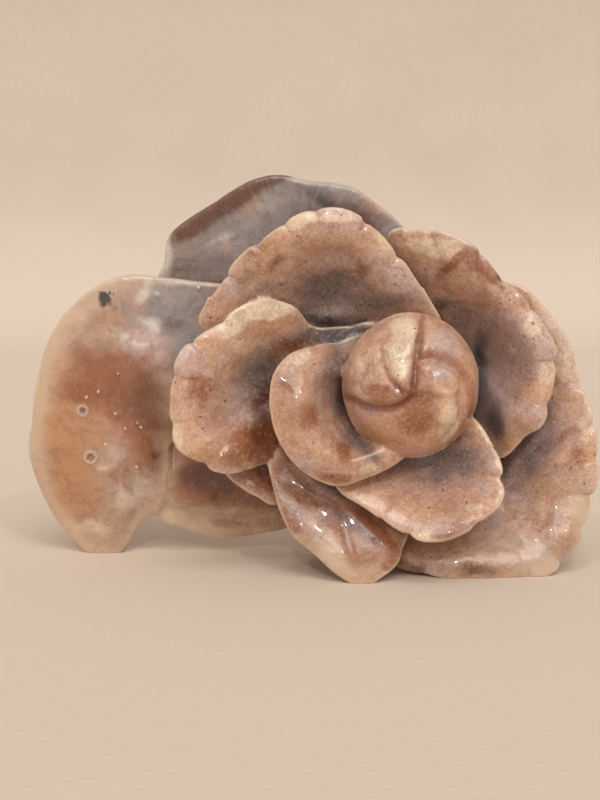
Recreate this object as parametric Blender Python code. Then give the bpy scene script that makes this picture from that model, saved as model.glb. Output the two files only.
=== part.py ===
"""A flower carved from one piece of pale amethyst agate, standing on its lower edge.

Metres, +Z up. The flower faces -Y and its broad left leaf reaches towards -X. The origin is on the ground,
under the middle of the stone. Everything is one solid: the carved forms below are guides that a Boolean
union fuses, and the ground plane trims the petal tips and the core that the stone stands on.
"""

import math
from typing import NamedTuple

import bmesh
import bpy
from mathutils import Vector

MM = 0.001

# Driving dimensions, in millimetres.
EDGE = 2.6  # thickness of a petal at its rim
LEAF_EDGE = 2.2  # thickness of an outer leaf at its rim
NOTCH_DEPTH = 1.1  # how far a carved notch cuts into a rim
NOTCH_WIDTH = 0.28  # half-width of a notch, in steps between rim points
FOOT_SINK = 0.7  # how much of each standing tip is ground away flat
STONE_COLOUR = (0.55, 0.33, 0.25, 1.0)
STONE_ROUGHNESS = 0.3


class Petal(NamedTuple):
    """A carved sheet. Its rim is a closed smooth line, and from a crest near the rim it sinks to the hollow."""

    name: str
    hollow: tuple  # the deepest point of the cup, or the highest point of a domed leaf
    rim: tuple  # (x, y, z) round the outline, counter-clockwise seen from the front, in mm
    crest: float = 0.86  # where the lip is highest, as a share of the way from the hollow to the rim
    curl: float = 0.15  # how far the rim falls back behind the crest, as a share of the cup's depth
    edge: float = EDGE
    root: float = 5.0  # thickness behind the hollow
    notches: tuple = ()  # places along the rim, counted in rim points
    steps: int = 2  # mesh steps between two rim points
    rings: int = 8


PETALS = (
    Petal(
        "top_petal",
        hollow=(3.5, 7, 45.5),
        rim=(
            (-8.5, 5, 37), (7, 9, 36.5), (19.5, 8, 37), (23.5, 2, 41), (21, -1, 46), (17, -3, 51.5),
            (14, -4, 55.5), (10, -5, 59), (5.5, -5, 60.5), (1, -5, 60), (-4, -4, 57.5), (-9, -3, 53.5),
            (-13, -2, 48.5), (-15.5, -1, 45), (-16, 0, 41.5),
        ),
        notches=(5.33, 7, 8.67, 9.67, 10.67, 11.67),
        steps=3,
        rings=10,
    ),
    Petal(
        "left_petal",
        hollow=(-3, 4, 30),
        rim=(
            (2, 3, 41.5), (-2, 0, 45), (-7, -2, 46), (-12.5, -4, 43), (-18, -5, 39), (-20.5, -6, 34),
            (-21, -6, 28), (-20.5, -6, 22.5), (-17, -6, 20), (-12, -5, 18.5), (-5, 0, 19.5),
            (2, 6, 24), (13, 7, 34), (13, 3, 41.5), (8, 3, 41.3),
        ),
        root=8.0,
        notches=(3.0, 4.0, 5.0, 6.33, 8.33),
        steps=3,
        rings=10,
    ),
    Petal(
        "right_petal",
        hollow=(31, 9, 34),
        rim=(
            (18, 7, 49.5), (23, 9, 40), (25, 9, 28), (29, 6, 20), (33.5, -1, 20), (36.5, -4, 24),
            (39, -5, 26.5), (41, -5, 33), (40.5, -5, 38.5), (37, -4, 44.5), (32.5, -3, 49.5),
            (28.5, -2, 54), (23, -1, 57), (18.5, 1, 57.5), (15, 3, 56.5),
        ),
        notches=(6.33, 7.67, 9, 10, 11, 12.33),
        steps=3,
        rings=10,
    ),
    Petal(
        "inner_left_petal",
        hollow=(12, 2, 29.5),
        rim=(
            (5.5, -1, 38.5), (2, -5, 38), (-1.5, -8, 37), (-4, -10, 34), (-4.5, -11.5, 29),
            (-3, -11.5, 24), (0, -11, 20), (5, -10, 17), (10, -9, 18), (16, -7, 20.5),
            (20.5, 0, 22.5), (22, 5, 28.5), (17, 4, 38), (10, 1, 40),
        ),
        root=8.0,
        crest=0.78,
        curl=0.22,
        edge=3.6,
        steps=3,
        rings=10,
    ),
    Petal(
        "inner_low_petal",
        hollow=(21.5, 0, 19.5),
        rim=(
            (5.5, -5, 16), (11, -7, 12), (16, -9, 9), (20, -10, 7.5), (24.5, -10, 8), (30, -10, 11),
            (33, -9.5, 14.5), (32.5, -8, 19), (31, -5, 23), (29, -3, 26), (25, 2, 29),
            (16.5, 2, 27), (9, -1, 21),
        ),
        root=8.0,
        notches=(2.33, 4.67, 6.67),
        steps=3,
        rings=10,
    ),
    Petal(
        "low_petal",
        hollow=(6, 0, 13),
        rim=(
            (-5.5, 1, 24), (-5.5, 0, 20), (-5, -1, 16), (-2, -4, 8.5), (2, -5, 5), (7, -6, 1),
            (10, -6, -FOOT_SINK), (12, -6, 0), (15.5, -5, 2.5), (16.5, -4, 4.5), (18, -1, 7.5),
            (18, 4, 12.5), (12, 6, 17.5), (2.5, 6, 24),
        ),
        root=8.0,
    ),
    Petal(
        "outer_right_petal",
        hollow=(32, 8, 13),
        rim=(
            (43, 9, 29.5), (34.5, 12, 24), (22.5, 10, 16), (15.5, 5, 6.5), (16, 0, 1.5),
            (21.5, -2, 0.5), (29, -3, -0.7), (36.5, -2, -0.7), (42, -1, 0.5), (46.5, 0, 5.5),
            (49, 2, 11), (50, 3, 17), (50, 3, 23), (49, 5, 28.5), (46.5, 6, 30.5),
        ),
        notches=(5.67, 7.33, 8.33, 9.33, 10.33, 11.33, 12.33),
        steps=3,
        rings=10,
    ),
    Petal(
        "back_arc_petal",
        hollow=(38.5, 11, 36.5),
        rim=(
            (31.5, 10, 47), (29.5, 12, 38), (34.5, 12, 24), (45, 10, 23), (47, 7, 29.5),
            (46.5, 7, 33.5), (45.5, 7, 37.5), (43.5, 7, 41), (41, 7, 44), (37, 8, 48),
        ),
    ),
    Petal(
        "tucked_petal",
        hollow=(-5, 4, 18),
        rim=(
            (-12.5, 2, 17.5), (-9.5, 1, 14.5), (-7, 1, 13), (-4, 2, 11.5), (1, 6, 15), (0, 8, 23),
            (-8.5, 6, 23.5),
        ),
        steps=3,
    ),
    Petal(
        "left_leaf",
        hollow=(-30, 10.5, 24),
        rim=(
            (-14.5, 14, 46.5), (-17.5, 14, 48), (-24, 14, 49), (-31.5, 14, 49), (-38.5, 14, 45),
            (-43.5, 14, 38.5), (-45.5, 14, 32), (-47, 14, 23.5), (-47.5, 14, 18), (-45.5, 15, 10.5),
            (-41.5, 16, 3.5), (-37, 16, -FOOT_SINK), (-32.5, 16, -FOOT_SINK), (-28.5, 16, 5),
            (-24, 16, 7.5), (-16, 17, 9.5), (-10, 18, 20), (-8, 18, 36),
        ),
        crest=1.0,
        curl=0.0,
        edge=LEAF_EDGE,
        root=4.0,
    ),
    Petal(
        "low_leaf",
        hollow=(-12, 13, 13.5),
        rim=(
            (-26.5, 16, 11.5), (-25, 16, 6), (-21.5, 16, 4.5), (-13.5, 16, 2.5), (-6, 16, 3.5),
            (-1.5, 15, 5), (5.5, 16, 9.5), (5.5, 18, 20), (-9, 18, 23.5), (-22, 17, 20),
        ),
        crest=1.0,
        curl=0.0,
        edge=LEAF_EDGE,
        root=4.0,
    ),
    Petal(
        "back_leaf",
        hollow=(-1.5, 17.5, 49),
        rim=(
            (-18, 20, 39.5), (0, 20, 35), (17.5, 18, 36), (26, 15, 45), (23.5, 14, 52.5),
            (18, 15, 57.5), (14.5, 15, 60.5), (8.5, 15, 64.5), (1, 16, 65.5), (-3.5, 16.5, 66.5),
            (-8.5, 17, 65.5), (-15, 18, 61.5), (-22, 18.5, 56.5), (-22.5, 19, 51.5), (-23.5, 20, 46.5),
        ),
        edge=LEAF_EDGE,
        root=4.0,
    ),
)

# The closed bud: an egg with spiral folds, drawn as (x, z) lines on its front, and one raised inner lobe.
BUD_CENTRE = (17.8, -6.0, 32.2)
BUD_RADII = (11.0, 9.6, 11.8)
BUD_FOLDS = (
    ((2.6, 11.5), (0.9, 7.0), (0.2, 4.0), (-0.2, 1.0), (-0.8, -1.0)),
    ((0.6, 4.3), (2.4, 4.1), (4.4, 3.2), (6.9, 1.4), (8.4, -0.8), (8.8, -3.4), (8.0, -6.5)),
    ((-0.4, -0.4), (-3.0, -1.8), (-5.6, -2.5), (-8.2, -2.6), (-10.2, -1.4)),
)
FOLD_RADIUS = 1.15
BUD_LOBE = ((4.6, -7.3, -1.2), (3.7, 2.6, 4.6))

# The uncut stone behind the petals, as (centre, radii) of rounded lumps.
CORE = ((19.0, 13.0, 22.0), (23.0, 6.5, 24.5))
WEB = ((-2.0, 16.5, 28.0), (24.0, 5.0, 17.0))

# The point of the layout above that stands at the frame's origin.
FOOTPRINT_CENTRE = (1.31, 3.2, 0.0)


def smooth_line(points, s, closed):
    """The Catmull-Rom line through points, at s counted in points."""
    count = len(points)
    k = math.floor(s)
    f = s - k
    if closed:
        near = [(k + i) % count for i in (-1, 0, 1, 2)]
    else:
        near = [min(max(k + i, 0), count - 1) for i in (-1, 0, 1, 2)]
    a, b, c, d = (Vector(points[i]) for i in near)
    return 0.5 * (2 * b + (c - a) * f + (2 * a - 5 * b + 4 * c - d) * f**2 + (3 * b - 3 * c + d - a) * f**3)


def notch(petal, s):
    """0 on a lobe of the rim and 1 at the bottom of a notch."""
    return max((math.exp(-(((s - n) / NOTCH_WIDTH) ** 2)) for n in petal.notches), default=0.0)


def sheet(petal, s, r):
    """The middle of the petal's thickness: r runs from 0 at the hollow to 1 at the rim."""
    hollow = Vector(petal.hollow)
    out = smooth_line(petal.rim, s, True) - hollow
    flat = Vector((out.x, 0, out.z))
    flat -= flat.normalized() * NOTCH_DEPTH * notch(petal, s) * r**4
    if r < petal.crest:
        rise = (r / petal.crest) ** 2 * (3 - 2 * r / petal.crest)
    else:
        rise = 1 - petal.curl * ((r - petal.crest) / (1.001 - petal.crest)) ** 2
    return hollow + flat * r + Vector((0, out.y, 0)) * rise


def petal_point(petal, s, r, side):
    """A point of the petal's skin. side runs from -1 on the back, through 0 at the rim, to 1 on the front."""
    step = 0.02
    r_safe = max(r, step)
    across = sheet(petal, s + step, r_safe) - sheet(petal, s - step, r_safe)
    along = sheet(petal, s, r_safe + step) - sheet(petal, s, r_safe - step)
    facing = along.cross(across).normalized().lerp(Vector((0, -1, 0)), 1 - r * r)
    roundness = math.copysign(abs(side) ** 0.6, side)
    thick = petal.edge / 2 * (1 - 0.6 * notch(petal, s) * r**3)
    if side < 0:
        thick += (petal.root - petal.edge / 2) * (1 - r * r)
    return sheet(petal, s, r) + facing * thick * roundness


def sphere(name, segments, rings, place):
    """A sphere primitive, each unit-sphere point of which goes to place(point), in millimetres."""
    mesh = bpy.data.meshes.new(name)
    shape = bmesh.new()
    bmesh.ops.create_uvsphere(shape, u_segments=segments, v_segments=rings, radius=1.0)
    for vertex in shape.verts:
        vertex.co = (place(vertex.co.copy()) - Vector(FOOTPRINT_CENTRE)) * MM
    shape.to_mesh(mesh)
    shape.free()
    return bpy.data.objects.new(name, mesh)


def make_petal(petal):
    """The sphere's equator becomes the rim, and its two poles the middles of the front and the back."""
    count = len(petal.rim)

    def place(p):
        s = math.atan2(p.y, p.x) / math.tau * count
        return petal_point(petal, s, min(1.0, math.hypot(p.x, p.y)), max(-1.0, min(1.0, p.z)))

    return sphere(petal.name, petal.steps * count, petal.rings, place)


def make_lump(name, centre, radii, segments=20, rings=10):
    return sphere(name, segments, rings, lambda p: Vector(centre) + Vector(c * r for c, r in zip(p, radii)))


def make_fold(name, line):
    """A spindle lying along one fold on the front of the bud, which cuts the fold's groove."""
    runs = len(line) - 1

    def on_bud(s):
        x, z = smooth_line(line, s, False)
        height = max(0.0, 1 - (x / BUD_RADII[0]) ** 2 - (z / BUD_RADII[2]) ** 2)
        return Vector((x, -BUD_RADII[1] * math.sqrt(height), z))

    def place(p):
        s = runs * (1 + p.z) / 2
        centre = on_bud(s)
        outward = Vector(c / r**2 for c, r in zip(centre, BUD_RADII)).normalized()
        along = on_bud(min(s + 0.1, runs)) - on_bud(max(s - 0.1, 0.0))
        aside = along.cross(outward).normalized()
        return Vector(BUD_CENTRE) + centre + (outward * p.x + aside * p.y) * FOLD_RADIUS

    return sphere(name, 6, 14, place)


def make_ground():
    """A block under the ground plane, which trims the standing tips flat."""
    mesh = bpy.data.meshes.new("ground")
    shape = bmesh.new()
    bmesh.ops.create_cube(shape, size=1.0)
    bmesh.ops.scale(shape, vec=(0.2, 0.2, 0.02), verts=shape.verts)
    bmesh.ops.translate(shape, vec=(0, 0, -0.01), verts=shape.verts)
    shape.to_mesh(mesh)
    shape.free()
    return bpy.data.objects.new("ground", mesh)


def as_guide(guide, collection):
    collection.objects.link(guide)
    guide.hide_render = True
    guide.display_type = "WIRE"


def boolean(target, operation, other):
    modifier = target.modifiers.new(other.name, "BOOLEAN")
    modifier.operation = operation
    modifier.object = other
    modifier.solver = "EXACT"


def stone_material():
    material = bpy.data.materials.new("amethyst_agate")
    material.use_nodes = True
    shader = material.node_tree.nodes["Principled BSDF"]
    shader.inputs["Base Color"].default_value = STONE_COLOUR
    shader.inputs["Roughness"].default_value = STONE_ROUGHNESS
    shader.inputs["Metallic"].default_value = 0.0
    return material


def main():
    for old in list(bpy.data.objects):
        bpy.data.objects.remove(old)
    parts = bpy.data.collections.new("amethyst_flower")
    guides = bpy.data.collections.new("carved_forms")
    for collection in (parts, guides):
        bpy.context.scene.collection.children.link(collection)

    flower = make_lump("amethyst_flower", *CORE)
    parts.objects.link(flower)
    bud = make_lump("bud", BUD_CENTRE, BUD_RADII, 26, 16)
    for number, line in enumerate(BUD_FOLDS, 1):
        fold = make_fold(f"fold_{number}", line)
        as_guide(fold, guides)
        boolean(bud, "DIFFERENCE", fold)
    lobe = make_lump("bud_lobe", Vector(BUD_CENTRE) + Vector(BUD_LOBE[0]), BUD_LOBE[1], 14, 8)
    forms = [make_lump("web", *WEB), bud, lobe]
    forms += [make_petal(petal) for petal in PETALS]
    for form in forms:
        as_guide(form, guides)
        boolean(flower, "UNION", form)
    ground = make_ground()
    as_guide(ground, guides)
    boolean(flower, "DIFFERENCE", ground)
    flower.data.materials.append(stone_material())


main()
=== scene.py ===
"""A flower carved from one piece of pale amethyst agate, standing on its lower edge on a pale floor."""

import math
from typing import NamedTuple

import bpy
import numpy as np
from mathutils.kdtree import KDTree
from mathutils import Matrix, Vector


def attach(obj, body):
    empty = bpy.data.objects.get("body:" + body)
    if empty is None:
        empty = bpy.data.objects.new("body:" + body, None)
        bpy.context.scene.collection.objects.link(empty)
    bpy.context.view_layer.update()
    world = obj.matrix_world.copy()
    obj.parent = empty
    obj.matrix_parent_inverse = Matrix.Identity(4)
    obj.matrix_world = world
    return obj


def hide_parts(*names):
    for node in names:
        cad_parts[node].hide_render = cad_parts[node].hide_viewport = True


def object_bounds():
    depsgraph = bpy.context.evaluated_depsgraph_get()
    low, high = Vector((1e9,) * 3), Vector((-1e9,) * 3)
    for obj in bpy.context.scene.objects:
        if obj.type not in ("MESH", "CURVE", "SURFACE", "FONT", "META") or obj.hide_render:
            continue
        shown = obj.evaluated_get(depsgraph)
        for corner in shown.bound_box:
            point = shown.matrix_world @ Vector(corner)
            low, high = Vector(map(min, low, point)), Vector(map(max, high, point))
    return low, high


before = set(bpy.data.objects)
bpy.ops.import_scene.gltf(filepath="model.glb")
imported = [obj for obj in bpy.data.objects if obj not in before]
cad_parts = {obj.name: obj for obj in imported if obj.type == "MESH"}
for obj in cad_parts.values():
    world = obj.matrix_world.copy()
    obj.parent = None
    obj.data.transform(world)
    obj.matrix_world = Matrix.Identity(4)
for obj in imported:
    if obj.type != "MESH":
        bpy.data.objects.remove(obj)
cad_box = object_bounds()

# ---------------------------------------------------------------- camera
# The camera stands in front, a little lower than the flower's top, and looks down at its middle. Shapes below
# are laid out in millimetres from the line that the camera looks along; FOOTPRINT_CENTRE is the point of that
# layout which stands at the frame's origin.
MM = 0.001
FOOTPRINT_CENTRE = np.array((1.31, 3.2, 0.0))
VIEW_HEIGHT = 29.217  # of the point looked at, in mm
VIEW_DISTANCE = 240.0
VIEW_TILT = math.radians(7)
VIEW_SPREAD = 0.55  # height of the picture, as a share of its distance

camera_data = bpy.data.cameras.new("camera")
camera_data.sensor_width = 36
camera_data.lens = camera_data.sensor_width / VIEW_SPREAD
camera = bpy.data.objects.new("camera", camera_data)
bpy.context.scene.collection.objects.link(camera)
eye = np.array((0, -math.cos(VIEW_TILT), math.sin(VIEW_TILT))) * VIEW_DISTANCE + (0, 0, VIEW_HEIGHT)
camera.location = (eye - FOOTPRINT_CENTRE) * MM
camera.rotation_euler = (math.pi / 2 - VIEW_TILT, 0, 0)
bpy.context.scene.camera = camera


# ---------------------------------------------------------------- petals and leaves
# The petals and leaves are ground out of one piece of agate and grow out of its core. Each petal is a thin
# cup: a rim that a file cuts into lobes, a lip just inside it, and a hollow that sinks towards the heart of
# the flower. The outer leaves are shallow domes.
class Petal(NamedTuple):
    name: str
    hollow: tuple  # the deepest point of the cup, or the highest point of a domed leaf
    rim: tuple  # (x, y, z) round the outline, counter-clockwise seen from the front, in mm
    bowl: float = 2.0  # how flat the floor of the cup is
    crest: float = 0.88  # where the lip is highest, as a share of the way from the hollow to the rim
    curl: float = 0.045  # how far the rim falls back behind the crest, as a share of the cup's depth
    edge: float = 2.4  # thickness at the rim
    bevel: float = 0.4  # radius of the rim's front corner
    root: float = 5.0  # thickness behind the hollow
    notches: tuple = ()  # places along the rim, counted in rim points


PETALS = (
    Petal(
        "top_petal",
        hollow=(6, 5.5, 43.5),
        rim=(
            (-8.5, 5, 37), (7, 9, 36.5), (19.5, 8, 37), (23.5, 2, 41), (21, -1, 46), (17, -3, 51.5),
            (14, -4, 55.5), (10, -5, 59), (5.5, -5, 60.5), (1, -5, 60), (-4, -4, 57.5), (-9, -3, 53.5),
            (-13, -2, 48.5), (-15.5, -1, 45), (-16, 0, 41.5),
        ),
        notches=(5.33, 7, 8.67, 9.67, 10.67, 11.67),
    ),
    Petal(
        "left_petal",
        hollow=(-3, 2.5, 30),
        rim=(
            (2, 3, 41.5), (-2, 0, 45), (-7, -2, 46), (-12.5, -4, 43), (-18, -5, 39), (-20.5, -6, 34),
            (-21, -6, 28), (-20.5, -6, 22.5), (-17, -6, 20), (-12, -5, 18.5), (-5, 0, 19.5),
            (2, 6, 24), (13, 7, 34), (13, 3, 41.5), (8, 3, 41.3),
        ),
        root=8.0,
        notches=(3.0, 4.0, 5.0, 6.33, 8.33),
    ),
    Petal(
        "right_petal",
        hollow=(30, 8.5, 34),
        rim=(
            (18, 7, 49.5), (23, 9, 40), (25, 9, 28), (29, 6, 20), (33.5, -1, 20), (36.5, -4, 24),
            (39, -5, 26.5), (41, -5, 33), (40.5, -5, 38.5), (37, -4, 44.5), (32.5, -3, 49.5),
            (28.5, -2, 54), (23, -1, 57), (18.5, 1, 57.5), (15, 3, 56.5),
        ),
        notches=(6.33, 7.67, 9, 10, 11, 12.33),
    ),
    Petal(
        "inner_left_petal",
        hollow=(13, 1.5, 29.5),
        rim=(
            (5.5, -1, 38.5), (2, -5, 38), (-1.5, -8, 37), (-4, -10, 34), (-4.5, -11.5, 29),
            (-3, -11.5, 24), (0, -11, 20), (5, -10, 17), (10, -9, 18), (16, -7, 20.5),
            (20.5, 0, 22.5), (22, 5, 28.5), (17, 4, 38), (10, 1, 40),
        ),
        root=8.0,
        bowl=3.4,
        crest=0.74,
        curl=0.1,
    ),
    Petal(
        "inner_low_petal",
        hollow=(21.5, 0, 19.5),
        rim=(
            (5.5, -5, 16), (11, -7, 12), (16, -9, 9), (20, -10, 7.5), (24.5, -10, 8), (30, -10, 11),
            (33, -9.5, 14.5), (32.5, -8, 19), (31, -5, 23), (29, -3, 26), (25, 2, 29),
            (16.5, 2, 27), (9, -1, 21),
        ),
        root=8.0,
        crest=1.0,
        curl=0.0,
        notches=(2.33, 4.67, 6.67),
    ),
    Petal(
        "low_petal",
        hollow=(6, -2, 13),
        rim=(
            (-5.5, 1, 24), (-5.5, 0, 20), (-5, -1, 16), (-2, -4, 8.5), (2, -5, 5), (7, -6, 1),
            (10, -6, -0.7), (12, -6, 0), (15.5, -5, 2.5), (16.5, -4, 4.5), (18, -1, 7.5),
            (18, 4, 12.5), (12, 6, 17.5), (2.5, 6, 24),
        ),
        root=8.0,
    ),
    Petal(
        "outer_right_petal",
        hollow=(32, 6.5, 13),
        rim=(
            (43, 9, 29.5), (34.5, 12, 24), (22.5, 10, 16), (15.5, 5, 6.5), (16, 0, 1.5),
            (21.5, -2, 0.5), (29, -3, -0.7), (36.5, -2, -0.7), (42, -1, 0.5), (46.5, 0, 5.5),
            (49, 2, 11), (50, 3, 17), (50, 3, 23), (49, 5, 28.5), (46.5, 6, 30.5),
        ),
        notches=(5.67, 7.33, 8.33, 9.33, 10.33, 11.33, 12.33),
    ),
    Petal(
        "back_arc_petal",
        hollow=(38.5, 11, 36.5),
        rim=(
            (31.5, 10, 47), (29.5, 12, 38), (34.5, 12, 24), (45, 10, 23), (47, 7, 29.5),
            (46.5, 7, 33.5), (45.5, 7, 37.5), (43.5, 7, 41), (41, 7, 44), (37, 8, 48),
        ),
    ),
    Petal(
        "tucked_petal",
        hollow=(-5, 4, 18),
        rim=(
            (-12.5, 2, 17.5), (-9.5, 1, 14.5), (-7, 1, 13), (-4, 2, 11.5), (1, 6, 15), (0, 8, 23),
            (-8.5, 6, 23.5),
        ),
    ),
    Petal(
        "left_leaf",
        hollow=(-30, 11.8, 24),
        rim=(
            (-3, 16, 45.5), (-10, 15, 47.3), (-17.5, 14, 48.2), (-24, 14, 49), (-31.5, 14, 49),
            (-38.5, 14, 45), (-43.5, 14, 38.5), (-45.5, 14, 32), (-47, 14, 23.5), (-47.5, 14, 18),
            (-45.5, 15, 10.5), (-41.5, 16, 3.5), (-37, 16, -0.7), (-32.5, 16, -0.7), (-28.5, 16, 5),
            (-24.5, 15, 8), (-23, 15, 14.5), (-20.5, 16, 22), (2, 19, 32),
        ),
        bowl=3.4,
        crest=1.0,
        curl=0.0,
        edge=2.2,
        bevel=0.8,
        root=4.0,
    ),
    Petal(
        "low_leaf",
        hollow=(-12, 14, 13.5),
        rim=(
            (-26.5, 16, 11.5), (-25, 16, 6), (-21.5, 16, 4.5), (-13.5, 16, 2.5), (-6, 16, 3.5),
            (-1.5, 15, 5), (5.5, 16, 9.5), (5.5, 18, 20), (-9, 18, 23.5), (-22, 17, 20),
        ),
        bowl=3.4,
        crest=1.0,
        curl=0.0,
        edge=2.2,
        bevel=0.8,
        root=4.0,
    ),
    Petal(
        "back_leaf",
        hollow=(-1.5, 17.5, 49),
        rim=(
            (-18, 20, 39.5), (0, 20, 35), (17.5, 18, 36), (26, 15, 45), (23.5, 14, 52.5),
            (18, 15, 57.5), (14.5, 15, 60.5), (8.5, 15, 64.5), (1, 16, 65.5), (-3.5, 16.5, 66.5),
            (-8.5, 17, 65.5), (-15.5, 18, 61.5), (-22.5, 18.5, 56.5), (-24, 19, 51.5), (-25, 20, 46.5),
        ),
        bowl=3.0,
        edge=2.2,
        bevel=0.8,
        root=4.0,
    ),
)
TABLE_STEPS = 40  # samples for each point of a rim
GRID_STEP = 0.36  # mm between the points of a skin
RIM_RINGS = 5  # rings of points round the rim's corner, and down its wall
SLOPE_STEP = 0.02  # how far either side of a place its slopes are taken
WALL_LEAN = 0.35  # how far the wall behind the rim leans in, as a share of its thickness
FALL_POWER = 1.6  # how the rim falls back past the crest: 1 is straight
# The lobes, in mm: how far one bulges between its notches, reaches past the next, is thicker in its middle
# and stands above the next, and how far in from the rim they can be felt
LOBE_SWELL = 0.25
LOBE_STEP = 0.5
LOBE_PILLOW = 0.12
LOBE_LEVEL = 0.24
LOBE_REACH = 6.0
LOBE_SETBACK = 1.1  # how far the outline is set back at a notch, as a share of the bulge
LOBE_FADE = 5  # how fast the outline's lobes die away towards the hollow: 1 is evenly
LOBE_TURN = 2.3  # radians on a sine wave from one lobe's step to the next
LOBE_RAMP = 0.06  # share of a lobe over which its step is taken
# The notches, in mm: how far one cuts into the outline, its width, and the depth of its groove on the face
NOTCH_DEPTH = 0.3
NOTCH_WIDTH = 0.75
NOTCH_GROOVE = 0.22


def smooth_loop(points, s):
    """The closed Catmull-Rom line through points at s, counted in points: the cubic between two points
    whose slope at each of them is half the step between its neighbours."""
    points = np.array(points, float)
    k = np.floor(s).astype(int)
    f = (s - k)[..., None]
    a, b, c, d = (points[(k + i) % len(points)] for i in (-1, 0, 1, 2))
    return 0.5 * (2 * b + (c - a) * f + (2 * a - 5 * b + 4 * c - d) * f**2 + (3 * b - 3 * c + d - a) * f**3)


def rim_table(petal):
    """Fine samples of the rim: s, and the distance in mm along it."""
    s = np.linspace(0, len(petal.rim), TABLE_STEPS * len(petal.rim) + 1)
    steps = np.linalg.norm(np.diff(smooth_loop(petal.rim, s), axis=0), axis=1)
    return s, np.concatenate(((0.0,), np.cumsum(steps)))


def lobes(petal, s):
    """How the rim is filed, for each s: the share of a lobe passed since its last notch, a bell curve that is
    1 in a notch, a step that is different on every lobe, and 1 inside the notched stretch or 0 outside it."""
    if not petal.notches:
        return np.full(s.shape, 0.5), np.zeros(s.shape), np.zeros(s.shape), np.zeros(s.shape)
    table_s, table_mm = rim_table(petal)
    notches = np.array(petal.notches)
    inside = ((s > notches[0] - 1) & (s < notches[-1] + 1)).astype(float)
    spread = np.concatenate(((notches[0] - 1,), notches, (notches[-1] + 1,)))
    phase = np.interp(s, spread, np.arange(len(spread)))
    mm = np.interp(s, table_s, table_mm)
    gap = np.min([abs(mm - at) for at in np.interp(notches, table_s, table_mm)], axis=0)
    groove = np.exp(-((gap / NOTCH_WIDTH) ** 2))
    ramp = np.clip((phase % 1.0) / LOBE_RAMP, 0, 1)
    lobe = np.floor(phase)
    before, after = (np.sin(which * LOBE_TURN + len(petal.rim)) for which in (lobe - 1, lobe))
    step = after * ramp + before * (1 - ramp)
    return phase % 1.0, groove, step * inside, inside


def sheet(petal, s, r):
    """The middle of the petal's thickness, r running from 0 at the hollow to 1 at the rim. Outwards it goes
    straight from the hollow to the rim, and forwards it rises on a smooth step to the crest and falls back
    nearly straight past it. Each lobe swells between its notches and steps from the next."""
    hollow = np.array(petal.hollow, float)
    out = smooth_loop(petal.rim, s) - hollow
    flat = out * (1, 0, 1)
    reach = np.linalg.norm(flat, axis=-1, keepdims=True)
    phase, groove, step, inside = lobes(petal, s)
    swell = LOBE_SWELL * inside * (np.sqrt(np.sin(np.pi * phase)) - LOBE_SETBACK) - NOTCH_DEPTH * groove
    swell += LOBE_STEP * 0.5 * (step - inside)
    flat = flat * (1 + swell[..., None] * r[..., None] ** LOBE_FADE / reach)
    u = np.minimum(r / petal.crest, 1) ** (petal.bowl / 2)
    past = np.maximum(r - petal.crest, 0) / (1.0001 - petal.crest)
    rise = u * u * (3 - 2 * u) - petal.curl * past**FALL_POWER
    return hollow + flat * r[..., None] + out * (0, 1, 0) * rise[..., None]


def petal_grid(petal):
    """A closed skin round the sheet. Across it, the first rings run out from the hollow over the front, the
    next turn a tight quarter circle at the rim and go back down a wall that leans inwards, and the last run
    in behind. Returns the points, the two tangents, s and r on a grid of (around, across)."""
    table_s, table_mm = rim_table(petal)
    around = int(table_mm[-1] / GRID_STEP)
    s = np.interp(np.linspace(0, table_mm[-1], around, endpoint=False), table_mm, table_s)
    flat = (smooth_loop(petal.rim, s) - np.array(petal.hollow)) * (1, 0, 1)
    reach = np.linalg.norm(flat, axis=1)
    half = petal.edge / 2
    rings = int(np.median(reach) / GRID_STEP)
    run = np.linspace(0, 1, rings)[1:]
    turn = np.linspace(0, np.pi / 2, RIM_RINGS)[1:]
    wall = np.linspace(0, 1, RIM_RINGS)[1:]
    behind = np.linspace(1, 0, rings // 2)[1:-1]
    gap = np.concatenate((petal.bevel * (1 - np.sin(turn)), WALL_LEAN * petal.edge * wall**1.5))
    fall = np.concatenate((petal.bevel * (1 - np.cos(turn)), petal.bevel + (petal.edge - petal.bevel) * wall))
    inner = 1 - petal.bevel / reach[:, None]
    backer = 1 - WALL_LEAN * petal.edge / reach[:, None]
    r = np.concatenate((run * inner, 1 - gap / reach[:, None], behind * backer), axis=1)
    root = -half - (petal.root - half) * (1 - behind**2)
    lift = np.concatenate((np.full(run.shape, half), half - fall, root))
    s = np.broadcast_to(s[:, None], r.shape)
    phase, groove, level, inside = lobes(petal, s)
    near_rim = np.clip(1 - (1 - r) * reach[:, None] / LOBE_REACH, 0, 1)
    pillow = LOBE_PILLOW * np.sin(np.pi * phase) ** 0.6 * inside + LOBE_LEVEL * level - NOTCH_GROOVE * groove
    lift = lift + np.where(lift > -0.1, pillow * near_rim, 0)  # on the front only
    step = SLOPE_STEP
    safe = np.maximum(r, step)
    across = (sheet(petal, s + step, safe) - sheet(petal, s - step, safe)) / (2 * step)
    along = (sheet(petal, s, safe + step) - sheet(petal, s, safe - step)) / (2 * step)
    facing = np.cross(along, across)
    facing /= np.linalg.norm(facing, axis=-1, keepdims=True)
    facing = facing * (r**2)[..., None] + np.array((0, -1, 0)) * (1 - r**2)[..., None]
    points = sheet(petal, s, r) + facing * lift[..., None]
    return points, across, along, s, r


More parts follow.
